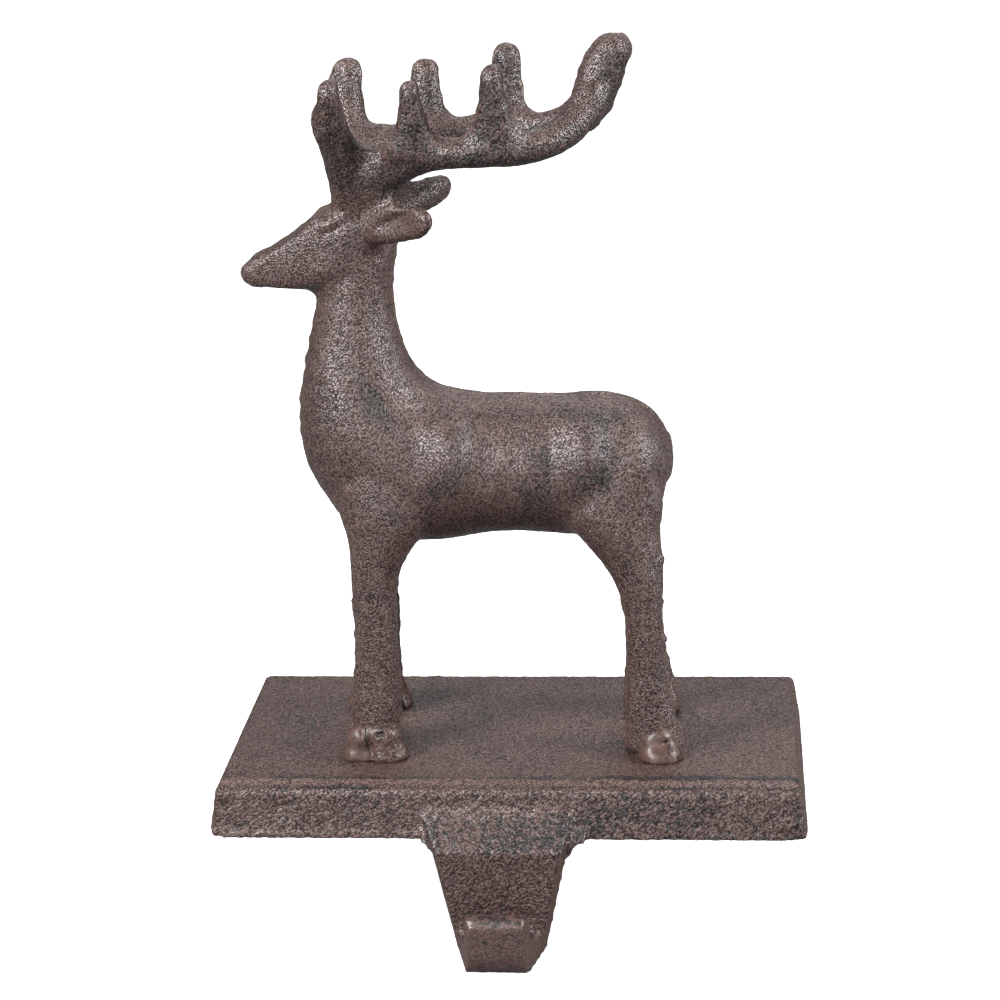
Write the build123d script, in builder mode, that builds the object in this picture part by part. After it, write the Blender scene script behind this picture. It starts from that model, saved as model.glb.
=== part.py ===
from build123d import *
import os
from math import radians, tan

# Mantel stocking holder: a cast stag welded by its feet to a cast plinth that carries the stocking hook.
# Millimetres, +Z up. The origin is on the edge of the mantel: its top is z = 0 and its front face is y = 0.
# The stag faces -X, and -Y is the side that hangs over the hearth.

# Plinth
plinth_width = 130.0
plinth_depth = 75.0
plinth_height = 10.7
plinth_draft = 9.0
plinth_corner = 3.0
plinth_edge_round = 1.2
plinth_wall = 4.5
plinth_top_thickness = 4.5
bead_setback = 3.0
bead_width = 4.0
bead_height = 0.6

# Arm and hook
arm_shift = -1.5
arm_root_width = 30.8
arm_tip_width = 19.8
arm_thickness = 6.0
arm_draft = 15.0
shoulder_height = 5.5
shoulder_drop = 6.0
hook_drop = 25.6
hook_throat = 5.5
hook_floor = 6.6
tongue_thickness = 5.4
tongue_height = 14.2
hook_front_round = 6.0
hook_back_round = 2.5
tongue_tip_round = 2.4
tongue_width = 12.0
tongue_arch_round = 6.0
hook_corner_round = 1.5
left_flare = 1.6
right_flare = 3.4
flare_thickness = 2.4

# Stag: heights, from the plinth's top to the belly and on from there, with tines and lobe above the beam
belly_height = 47.3
body_depth = 31.0
neck_rise = 35.7
beam_rise = 20.4
tine_rise = 16.2
lobe_rise = 22.8

# Stag: places along the plinth, from its middle
fore_leg_x = -31.7
hind_leg_x = 29.8
chest_x = -45.8
rump_x = 36.0
brow_x = -37.5
nose_x = -57.8

# Stag: half-widths and offsets from the figure's own middle plane
body_half_width = 16.0
rump_radius = 15.2
neck_half_width = 9.3
stance = 12.0
fore_leg_lead = 1.3
hind_leg_lead = 0.5
rail_spread = 14.5
tine_spread = 16.7
ear_spread = 22.0

# Stag: round sections
leg_half_width = 4.2
hoof_half_width = 5.0
trunk_radius = 5.0
rail_radius = 3.3

# Welds
weld_bite = 0.6
fore_welds = ((-3.4, 0.0, 4.3), (-2.6, 4.4, 3.6), (2.8, 0.0, 4.9), (2.3, 4.7, 3.8))
hind_welds = ((2.7, 0.0, 5.1), (2.2, 3.4, 3.8))

figure_mid = plinth_depth / 2
back_height = belly_height + body_depth
poll_height = back_height + neck_rise
beam_height = poll_height + beam_rise
tine_height = beam_height + tine_rise
lobe_height = beam_height + lobe_rise
head_length = brow_x - nose_x
quarter_bow = 0.5523
tip_swell = 1.03
muzzle_radius = 2.9
ear_hollow_offset = 2.2
ear_stations = ((0.0, 2.6, 2.4), (0.35, 3.9, 2.3), (0.7, 3.9, 2.1), (0.92, 2.9, 1.7), (1.0, 1.6, 1.1))
ear_hollow_stations = ((0.3, 0.8, 0.8), (0.5, 2.2, 1.6), (0.75, 2.2, 1.5), (0.92, 0.7, 0.7))


def spot(x, height, offset=0.0):
    """Point of the stag at a height above the plinth, offset sideways from its middle plane."""
    return Vector(x, figure_mid + offset, plinth_height + height)


def oval(plane, half_length, half_width):
    """Oval drawn as four quarter curves, so that all sections of a form start at the same point."""
    bow_x = quarter_bow * half_length
    bow_y = quarter_bow * half_width
    with BuildSketch(plane) as section:
        with BuildLine():
            Bezier((half_length, 0), (half_length, bow_y), (bow_x, half_width), (0, half_width))
            Bezier((0, half_width), (-bow_x, half_width), (-half_length, bow_y), (-half_length, 0))
            Bezier((-half_length, 0), (-half_length, -bow_y), (-bow_x, -half_width), (0, -half_width))
            Bezier((0, -half_width), (bow_x, -half_width), (half_length, -bow_y), (half_length, 0))
        make_face()
    return section.sketch


def profile_plane(upper, lower):
    """Plane square to the stag's middle plane, through two points of its side outline."""
    top = spot(*upper)
    bottom = spot(*lower)
    across = top - bottom
    return Plane(origin=(top + bottom) / 2, x_dir=across, z_dir=across.cross(Vector(0, 1, 0)))


def outline_gap(upper, lower):
    """Distance between two points of the side outline."""
    return (spot(*upper) - spot(*lower)).length


def body(stations):
    """Sweep ovals along the line of their middles: each one is upper point, lower point, half-width."""
    sections = []
    middles = []
    for upper, lower, half_width in stations:
        plane = profile_plane(upper, lower)
        sections.append(oval(plane, outline_gap(upper, lower) / 2, half_width))
        middles.append(plane.origin)
    sweep(sections=sections, path=Spline(*middles, mode=Mode.PRIVATE), multisection=True)


def wedge(stations):
    """Loft rounded blocks: each one is upper point, lower point, half-width, corner radius."""
    sections = []
    for upper, lower, half_width, corner in stations:
        with BuildSketch(profile_plane(upper, lower)) as section:
            RectangleRounded(outline_gap(upper, lower), 2 * half_width, corner)
        sections.append(section.sketch)
    loft(sections=sections)


def leg(stations):
    """Loft level ovals: each one is height, front edge, back edge, sideways offset, half-width."""
    sections = []
    for height, fore, aft, offset, half_width in stations:
        plane = Plane(origin=spot((fore + aft) / 2, height, offset))
        sections.append(oval(plane, (aft - fore) / 2, half_width))
    loft(sections=sections)


def rod(stations):
    """Sweep an oval rod: each station is a point, half-length, half-width. Its last end is rounded."""
    path = Spline(*[point for point, half_length, half_width in stations], mode=Mode.PRIVATE)
    sections = []
    for point, half_length, half_width in stations:
        along = path.tangent_at(path.param_at_point(point))
        plane = Plane(origin=point, x_dir=along.cross(Vector(0, 1, 0)), z_dir=along)
        sections.append(oval(plane, half_length, half_width))
    sweep(sections=sections, path=path, multisection=True)
    end, end_radius = stations[-1][:2]
    with Locations(end):
        Sphere(tip_swell * end_radius)


def ear(side):
    """Loft one leaf-shaped ear outwards from the head and hollow out its front."""
    root = spot(-29.0, poll_height + 2.8, side * 6.0)
    tip = spot(-13.4, poll_height + 7.7, side * ear_spread)
    along = (tip - root).normalized()
    upright = (Vector(0, 0, 1) - along * along.Z).normalized()
    sections = []
    for share, half_height, half_thickness in ear_stations:
        plane = Plane(origin=root + (tip - root) * share, x_dir=upright, z_dir=along)
        sections.append(oval(plane, half_height, half_thickness))
    loft(sections=sections)
    front = along.cross(upright) * -side
    hollow = []
    for share, half_height, half_thickness in ear_hollow_stations:
        origin = root + (tip - root) * share + front * ear_hollow_offset
        hollow.append(oval(Plane(origin=origin, x_dir=upright, z_dir=along), half_height, half_thickness))
    loft(sections=hollow, mode=Mode.SUBTRACT)


# Where the arm's sloping shoulder leaves the plinth's drafted front
plinth_lean = tan(radians(plinth_draft))
shoulder_inset = shoulder_height * plinth_lean
shoulder_slope = shoulder_drop / (arm_thickness + shoulder_inset)
root_back = plinth_wall / 2
tongue_back = arm_thickness + hook_throat
tongue_front = tongue_back + tongue_thickness
arm_lean = (arm_root_width - arm_tip_width) / 2 / hook_drop

with BuildPart() as arm:
    # Side outline of the hanging arm, with the shoulder that slopes off the plinth
    with BuildSketch(Plane.YZ):
        with BuildLine():
            Polyline(
                (root_back, 0),
                (0, 0),
                (0, -hook_drop),
                (-arm_thickness, -hook_drop),
                (-arm_thickness, shoulder_height - shoulder_drop),
                (root_back, shoulder_height + shoulder_slope * (root_back - shoulder_inset)),
                close=True,
            )
        make_face()
    extrude(amount=plinth_width / 2, both=True)
    # Front outline that narrows towards the hook, drafted towards the viewer
    root_half = arm_root_width / 2 + root_back * tan(radians(arm_draft))
    with BuildSketch(Plane.XZ.offset(-root_back)):
        with BuildLine():
            Polyline(
                (arm_shift + root_half + arm_lean * plinth_height, plinth_height),
                (arm_shift + root_half - arm_lean * 2 * hook_drop, -2 * hook_drop),
                (arm_shift - root_half + arm_lean * 2 * hook_drop, -2 * hook_drop),
                (arm_shift - root_half - arm_lean * plinth_height, plinth_height),
                close=True,
            )
        make_face()
    extrude(amount=root_back + tongue_front, taper=arm_draft, mode=Mode.INTERSECT)

with BuildPart() as gussets:
    # Small sloping gussets that run from the plinth's front into both sides of the arm's root
    with BuildSketch(Plane.YZ):
        with BuildLine():
            Polyline(
                (root_back, 0),
                (0, 0),
                (0, -right_flare),
                (-flare_thickness, -right_flare),
                (-flare_thickness, 0),
                (root_back, root_back + flare_thickness),
                close=True,
            )
        make_face()
    extrude(amount=plinth_width / 2, both=True)
    with BuildSketch(Plane.XZ.offset(-root_back)):
        for side, flare in ((-1, left_flare), (1, right_flare)):
            with Locations((arm_shift + side * arm_root_width / 2, -flare)):
                Rectangle(2 * flare, plinth_height, align=(Align.CENTER, Align.MIN))
            with Locations((arm_shift + side * (arm_root_width / 2 + flare), -flare)):
                Circle(flare, mode=Mode.SUBTRACT)
    extrude(amount=root_back + flare_thickness, mode=Mode.INTERSECT)

with BuildPart() as hook:
    # Side outline of the hook's floor and upturned tongue
    with BuildSketch(Plane.YZ) as hook_side:
        with BuildLine():
            Polyline(
                (0, -hook_drop),
                (-tongue_front, -hook_drop),
                (-tongue_front, tongue_height - hook_drop),
                (-tongue_back, tongue_height - hook_drop),
                (-tongue_back, hook_floor - hook_drop),
                (0, hook_floor - hook_drop),
                close=True,
            )
        make_face()
        fillet(hook_side.vertices().group_by(Axis.Y)[-1], tongue_tip_round)
        fillet(hook_side.vertices().group_by(Axis.Y)[0].sort_by(Axis.X)[-1], hook_back_round)
        fillet(hook_side.vertices().group_by(Axis.Y)[0].sort_by(Axis.X)[0], hook_front_round)
    extrude(amount=arm_root_width, both=True)
    # Plan outline that narrows from the arm to the tongue
    with BuildSketch(Plane.XY.offset(-hook_drop)):
        with BuildLine():
            Polyline(
                (arm_shift + arm_tip_width / 2, 0),
                (arm_shift + tongue_width / 2, -tongue_front),
                (arm_shift - tongue_width / 2, -tongue_front),
                (arm_shift - arm_tip_width / 2, 0),
                close=True,
            )
        make_face()
    extrude(amount=tongue_height, mode=Mode.INTERSECT)
    # Front outline with a rounded top to the tongue
    with BuildSketch(Plane.XZ) as hook_front:
        with Locations((arm_shift, -hook_drop)):
            Rectangle(arm_tip_width, tongue_height, align=(Align.CENTER, Align.MIN))
        fillet(hook_front.vertices().group_by(Axis.Y)[-1], tongue_arch_round)
        fillet(hook_front.vertices().group_by(Axis.Y)[0], hook_corner_round)
    extrude(amount=tongue_front, mode=Mode.INTERSECT)

with BuildPart() as hook_plinth:
    # Plinth: a drafted block, hollow below, with a bead along the front of its top
    plinth_floor = Plane((0, plinth_depth / 2, 0))
    with BuildSketch(plinth_floor):
        RectangleRounded(plinth_width, plinth_depth, plinth_corner)
    extrude(amount=plinth_height, taper=plinth_draft)
    fillet(hook_plinth.faces().sort_by(Axis.Z)[-1].edges(), plinth_edge_round)
    with BuildSketch(plinth_floor):
        RectangleRounded(plinth_width - 2 * plinth_wall, plinth_depth - 2 * plinth_wall, plinth_corner)
    extrude(amount=plinth_height - plinth_top_thickness, taper=plinth_draft, mode=Mode.SUBTRACT)
    top_inset = plinth_height * plinth_lean
    bead_front = top_inset + bead_setback
    with BuildSketch(Plane.YZ):
        with BuildLine():
            foot = Polyline(
                (bead_front, plinth_height),
                (bead_front, plinth_height - bead_height),
                (bead_front + bead_width, plinth_height - bead_height),
                (bead_front + bead_width, plinth_height),
            )
            ThreePointArc(foot @ 1, (bead_front + bead_width / 2, plinth_height + bead_height), foot @ 0)
        make_face()
    extrude(amount=plinth_width / 2 - top_inset - plinth_edge_round, both=True)
    for casting in (arm, gussets, hook):
        add(casting.part)
hook_plinth.part.label = "hook_plinth"


with BuildPart() as stag_figure:
    # Round rump, and the trunk and neck from there forward and up to the head
    rump_middle = rump_x - rump_radius
    rump_height = back_height - rump_radius + 0.4
    with Locations(spot(rump_middle, rump_height)):
        Sphere(rump_radius)
    join_x = rump_x - 0.6 * rump_radius
    join_half = 0.84 * rump_radius
    body(
        [
            ((join_x, rump_height + join_half), (join_x, rump_height - join_half), join_half),
            ((9.0, back_height), (8.0, belly_height + 0.4), body_half_width - 0.6),
            ((-6.0, back_height + 0.4), (-8.0, belly_height), body_half_width - 0.5),
            ((-16.5, back_height + 3.0), (-26.0, belly_height - 0.4), body_half_width),
            ((-21.8, back_height + 9.0), (chest_x + 5.0, belly_height + 9.2), body_half_width - 0.8),
            ((-23.9, back_height + 16.5), (chest_x - 0.2, belly_height + 23.2), body_half_width - 3.1),
            ((-24.8, back_height + 22.7), (chest_x + 1.5, back_height + 7.7), neck_half_width + 1.1),
            ((-23.9, poll_height - 6.0), (-41.5, poll_height - 15.5), neck_half_width - 0.3),
            ((-24.6, poll_height + 1.5), (-37.6, poll_height + 0.5), neck_half_width - 2.3),
        ]
    )

    # Head, a wedge with flat cheeks and a flat bridge
    wedge(
        [
            ((nose_x + 1.8, poll_height - 5.2), (nose_x + 1.8, poll_height - 10.2), 2.6, 1.6),
            ((nose_x + 0.38 * head_length, poll_height - 1.6), (nose_x + 8.3, poll_height - 10.7), 4.6, 2.4),
            ((nose_x + 0.68 * head_length, poll_height + 2.5), (brow_x - 6.0, poll_height - 10.8), 6.6, 3.2),
            ((brow_x, poll_height + 6.8), (brow_x - 1.0, poll_height - 10.0), 8.6, 4.2),
            ((-31.0, poll_height + 7.5), (-33.0, poll_height - 8.0), 9.0, 4.6),
            ((-26.2, poll_height + 5.0), (-27.5, poll_height - 5.0), 7.4, 4.0),
        ]
    )
    with Locations(spot(nose_x + muzzle_radius, poll_height - 7.7)):
        Sphere(muzzle_radius)
    for side in (-1, 1):
        ear(side)

    # Legs, from the shoulder or haunch down to the hoof
    for side in (-1, 1):
        fore = fore_leg_x - side * fore_leg_lead
        leg(
            [
                (belly_height + 22.0, fore + 2.0, fore + 15.0, side * 7.0, 5.0),
                (belly_height + 10.0, fore - 6.0, fore + 14.0, side * 9.5, 7.2),
                (belly_height + 2.0, fore - 5.0, fore + 11.2, side * 10.0, 6.6),
                (belly_height - 4.0, fore - 4.6, fore + 7.3, side * 10.8, 5.4),
                (belly_height - 10.0, fore - 4.4, fore + 5.6, side * 11.5, 4.6),
                (belly_height - 19.0, fore - 4.0, fore + 5.4, side * stance, leg_half_width),
                (19.0, fore - 4.5, fore + 5.6, side * stance, leg_half_width),
                (9.0, fore - 5.3, fore + 5.6, side * stance, leg_half_width + 0.3),
                (0.0, fore - 6.4, fore + 6.0, side * stance, hoof_half_width),
            ]
        )
        hind = hind_leg_x - side * hind_leg_lead
        leg(
            [
                (belly_height + 22.0, hind - 16.5, hind - 7.0, side * 6.0, 3.8),
                (belly_height + 11.0, hind - 18.0, hind + 2.6, side * 8.6, 7.4),
                (belly_height + 3.0, hind - 15.8, hind + 2.9, side * 9.4, 7.2),
                (belly_height - 2.5, hind - 11.0, hind + 3.4, side * 10.1, 6.2),
                (belly_height - 8.0, hind - 7.4, hind + 3.6, side * 11.0, 5.1),
                (belly_height - 16.0, hind - 5.2, hind + 3.2, side * stance, leg_half_width),
                (23.0, hind - 4.7, hind + 3.5, side * stance, leg_half_width),
                (13.0, hind - 4.8, hind + 5.0, side * stance, leg_half_width + 0.2),
                (5.0, hind - 5.2, hind + 7.0, side * stance, leg_half_width + 0.5),
                (0.0, hind - 5.4, hind + 7.8, side * stance, hoof_half_width),
            ]
        )

    # Antlers: a trunk leans out into a front tine, and a rail behind it carries two more tines
    for side in (-1, 1):
        knuckle = spot(-1.0, beam_height + 0.2, side * rail_spread)
        rod(
            [
                (spot(-31.2, poll_height + 2.0, side * 2.8), trunk_radius + 0.4, trunk_radius),
                (spot(-31.2, poll_height + 9.5, side * 4.8), trunk_radius + 0.3, trunk_radius - 0.2),
                (spot(-32.3, beam_height - 4.4, side * 8.2), 4.6, 4.2),
                (spot(-33.9, beam_height + 2.6, side * 12.2), 3.8, 3.5),
                (spot(-34.7, beam_height + 9.1, side * (tine_spread - 1.4)), 3.3, 3.2),
                (spot(-34.5, tine_height - 3.1, side * tine_spread), 3.2, 3.1),
            ]
        )
        rod(
            [
                (spot(-30.0, beam_height - 10.6, side * 5.5), 4.8, 4.2),
                (spot(-24.0, beam_height - 4.2, side * 9.8), 5.2, 3.9),
                (spot(-16.6, beam_height - 0.9, side * 13.0), rail_radius + 0.6, rail_radius + 0.2),
                (spot(-8.8, beam_height - 0.1, side * rail_spread), rail_radius, rail_radius),
                (knuckle, rail_radius, rail_radius),
            ]
        )
        rod(
            [
                (knuckle, rail_radius, rail_radius),
                (spot(8.5, beam_height + 0.9, side * 12.0), rail_radius + 0.1, rail_radius + 0.1),
                (spot(15.2, beam_height + 3.9, side * 7.6), rail_radius + 0.4, rail_radius + 0.3),
                (spot(19.4, beam_height + 9.2, side * 3.6), rail_radius + 0.6, rail_radius + 0.5),
            ]
        )
        # Tines with feet that flare along the rail
        rod(
            [
                (spot(-17.8, beam_height - 1.0, side * rail_spread), 6.2, 2.9),
                (spot(-17.5, beam_height + 2.8, side * (rail_spread + 0.4)), 4.6, 3.0),
                (spot(-17.2, beam_height + 7.2, side * (rail_spread + 1.2)), 3.3, 2.9),
                (spot(-17.2, tine_height - 2.9, side * tine_spread), 2.6, 2.6),
            ]
        )
        rod(
            [
                (spot(-0.8, beam_height - 0.8, side * rail_spread), 6.6, 2.9),
                (spot(-0.4, beam_height + 3.2, side * (rail_spread + 0.4)), 5.1, 3.1),
                (spot(0.0, beam_height + 8.2, side * (rail_spread + 1.2)), 3.9, 3.1),
                (spot(0.3, tine_height - 0.4, side * tine_spread), 3.2, 3.1),
            ]
        )

    # The two rails run together into one lobe at the back
    rod(
        [
            (spot(16.4, beam_height + 0.18 * lobe_rise), 4.2, 4.2),
            (spot(20.4, beam_height + 0.47 * lobe_rise), 4.6, 4.6),
            (spot(23.0, beam_height + 0.74 * lobe_rise), 4.5, 4.5),
            (spot(24.7, lobe_height - 4.0), 4.0, 4.0),
        ]
    )
stag_figure.part.label = "stag_figure"

with BuildPart() as foot_welds:
    # Weld metal run up the outer side of each foot, cut off at the plinth and fitted to the foot
    for side in (-1, 1):
        feet = (
            (fore_leg_x - side * fore_leg_lead, fore_welds),
            (hind_leg_x - side * hind_leg_lead, hind_welds),
        )
        for middle, beads in feet:
            for shift, height, radius in beads:
                with Locations(spot(middle + shift, height, side * (stance + hoof_half_width - weld_bite))):
                    Sphere(radius)
    split(bisect_by=Plane.XY.offset(plinth_height))
    add(stag_figure.part, mode=Mode.SUBTRACT)
foot_welds.part.label = "foot_welds"


os.makedirs("parts", exist_ok=True)
for piece in (hook_plinth, stag_figure, foot_welds):
    export_step(piece.part, f"parts/{piece.part.label}.step")
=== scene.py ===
"""Looks of the mantel stocking holder: a sand-cast stag welded by its feet to a plinth with a stocking hook.

The frame and every mesh are in metres. Sizes in the classes below are millimetres.
"""

import logging
from dataclasses import dataclass, field
from enum import Enum
from math import cos, radians, sin

import bmesh
import bpy
import numpy as np
from mathutils import Matrix, Vector, noise


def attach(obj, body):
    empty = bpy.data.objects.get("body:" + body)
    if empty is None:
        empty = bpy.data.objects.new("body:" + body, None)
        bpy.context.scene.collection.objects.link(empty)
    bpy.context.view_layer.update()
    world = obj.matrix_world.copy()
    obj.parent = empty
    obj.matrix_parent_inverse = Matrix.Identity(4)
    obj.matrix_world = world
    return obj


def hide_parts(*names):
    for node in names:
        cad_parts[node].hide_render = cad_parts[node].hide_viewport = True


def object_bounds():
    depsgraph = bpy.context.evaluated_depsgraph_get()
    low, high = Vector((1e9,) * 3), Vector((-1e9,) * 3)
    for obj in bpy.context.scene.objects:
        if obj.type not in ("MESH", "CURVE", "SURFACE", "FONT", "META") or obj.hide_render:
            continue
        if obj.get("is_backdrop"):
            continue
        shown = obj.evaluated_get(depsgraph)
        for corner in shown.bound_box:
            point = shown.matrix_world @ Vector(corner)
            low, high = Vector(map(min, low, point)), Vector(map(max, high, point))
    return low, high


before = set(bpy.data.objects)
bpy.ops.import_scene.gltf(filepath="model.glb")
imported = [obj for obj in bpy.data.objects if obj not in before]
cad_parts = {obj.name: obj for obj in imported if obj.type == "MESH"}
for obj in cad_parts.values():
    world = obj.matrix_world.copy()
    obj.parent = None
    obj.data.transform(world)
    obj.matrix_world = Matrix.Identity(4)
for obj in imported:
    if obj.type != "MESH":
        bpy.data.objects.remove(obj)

LOG = logging.getLogger("stocking_holder")
MM = 0.001

# Middle of the stag from front to back, and height of the plinth's top
FIGURE_MID = 37.5
PLINTH_TOP = 10.7

# Names of the masks that a mesh keeps for its finish
RELIEF = "relief"
# Mask of patina and painted shade, darker where it is strong
STAIN_AND_SHADE = "stain_and_shade"
COARSE = "coarse"

# Middle of a random field or mask, and how many standard deviations the relief mask spans
MIDDLE = 0.5
RELIEF_SPAN = 4.0

# Keeps the relief mask defined on a skin that is even all over
TINY = 1e-6

# Layers of a random field, and the share by which its start moves along each axis
FIELD_FADE = 1.0
FIELD_STEP = 2.0
FIELD_LAYERS = 2
FIELD_AXES = (1.0, 1.7, 2.3)

# Colour sockets of a Mix node
MIX_SHARE, MIX_FIRST, MIX_SECOND, MIX_RESULT = 0, 6, 7, 2

Triple = tuple[float, float, float]
Span = tuple[float, float]
Socket = bpy.types.NodeSocket


class Iron(Enum):
    """Material slots of the three kinds of metal on the object."""

    FIGURE = "figure_iron"
    PLINTH = "plinth_iron"
    WELD = "weld_metal"


class Draw(Enum):
    """Random fields of the object, each with its own start so that no two are alike."""

    FIGURE_SAND = 3.1
    FIGURE_WAVES = 7.9
    SEAM_BREAKS = 5.3
    FRONT_LUMPS = 2.6
    FRONT_SAND = 4.4
    PLINTH_FINE = 9.2
    RAGGED_EDGE = 8.8
    LINE_BREAKS = 3.7
    LINE_SWAY = 1.3
    WELD_WAVES = 6.1

    def start(self) -> Vector:
        """Point that the field starts from."""
        return Vector([share * self.value for share in FIELD_AXES])


@dataclass(frozen=True)
class Surface:
    """Points of a mesh in millimetres, one row each, and the direction of its surface at each of them."""

    points: np.ndarray
    normals: np.ndarray

    @classmethod
    def read(cls, mesh: bpy.types.Mesh) -> "Surface":
        """Read the points and directions of a mesh.

        Args:
            mesh: The mesh to read.

        Returns:
            Its surface.
        """
        points = np.empty(3 * len(mesh.vertices), dtype=np.float32)
        normals = np.empty(3 * len(mesh.vertices), dtype=np.float32)
        mesh.vertices.foreach_get("co", points)
        mesh.vertex_normals.foreach_get("vector", normals)
        return cls(points.reshape(-1, 3).astype(float) / MM, normals.reshape(-1, 3).astype(float))

    @property
    def x(self) -> np.ndarray:
        """Places from left to right."""
        return self.points[:, 0]

    @property
    def y(self) -> np.ndarray:
        """Places from front to back."""
        return self.points[:, 1]

    @property
    def z(self) -> np.ndarray:
        """Heights above the mantel."""
        return self.points[:, 2]

    @property
    def up(self) -> np.ndarray:
        """How far the surface faces up."""
        return self.normals[:, 2]

    @property
    def front(self) -> np.ndarray:
        """How far the surface faces the front."""
        return -self.normals[:, 1]

    @property
    def side(self) -> np.ndarray:
        """How far the surface faces left or right."""
        return np.abs(self.normals[:, 0])

    def zeros(self) -> np.ndarray:
        """Zero for each point."""
        return np.zeros(len(self.points))


@dataclass(frozen=True)
class Swell:
    """Soft oval bulge, hollow, stain or painted shade: where it is, how far it reaches and how strong it is.

    The lean, in degrees, tips it in the plane of the front. One on both sides is mirrored about the middle
    of the stag.
    """

    place: Triple
    reach: Triple
    height: float
    lean: float = 0.0
    both_sides: bool = False

    def weight(self, points: np.ndarray) -> np.ndarray:
        """Strength of the swell at each point.

        Args:
            points: Places in millimetres, one row each.

        Returns:
            The height of the swell at each place.
        """
        offset = points - np.array(self.place)
        if self.both_sides:
            half = abs(self.place[1] - FIGURE_MID)
            offset[:, 1] = np.abs(points[:, 1] - FIGURE_MID) - half
        turn = radians(self.lean)
        along = offset[:, 0] * cos(turn) + offset[:, 2] * sin(turn)
        rise = offset[:, 2] * cos(turn) - offset[:, 0] * sin(turn)
        across, deep, high = self.reach
        spread = (along / across) ** 2 + (offset[:, 1] / deep) ** 2 + (rise / high) ** 2
        return self.height * np.exp(-spread)


def cloud(points: np.ndarray, size: float, draw: Draw) -> np.ndarray:
    """Smooth random field.

    Args:
        points: Places in millimetres, one row each.
        size: Width of the largest waves.
        draw: Which field it is.

    Returns:
        Values around zero, about -1 to 1.
    """
    start = draw.start()
    layers = (FIELD_FADE, FIELD_STEP, FIELD_LAYERS)
    return np.array([noise.fractal(Vector(point) / size + start, *layers) for point in points])


def pebbles(points: np.ndarray, size: float, draw: Draw) -> np.ndarray:
    """Field of rounded grains, as moulding sand leaves them.

    Args:
        points: Places in millimetres, one row each.
        size: Width of a grain.
        draw: Which field it is.

    Returns:
        Height of the grains, about 0 to 1.
    """
    start = draw.start()
    near = np.array([noise.voronoi(Vector(point) / size + start)[0][0] for point in points])
    return 1.0 - np.clip(near, 0.0, 1.0)


def ramp(values: np.ndarray, low: float, high: float) -> np.ndarray:
    """Soft step from 0 at `low` to 1 at `high`."""
    share = np.clip((values - low) / (high - low), 0.0, 1.0)
    return share * share * (3.0 - 2.0 * share)


def ridge(values: np.ndarray, middle: float | np.ndarray, width: float) -> np.ndarray:
    """Soft ridge that is 1 where the values are at `middle`."""
    return np.exp(-(((values - middle) / width) ** 2))


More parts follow.
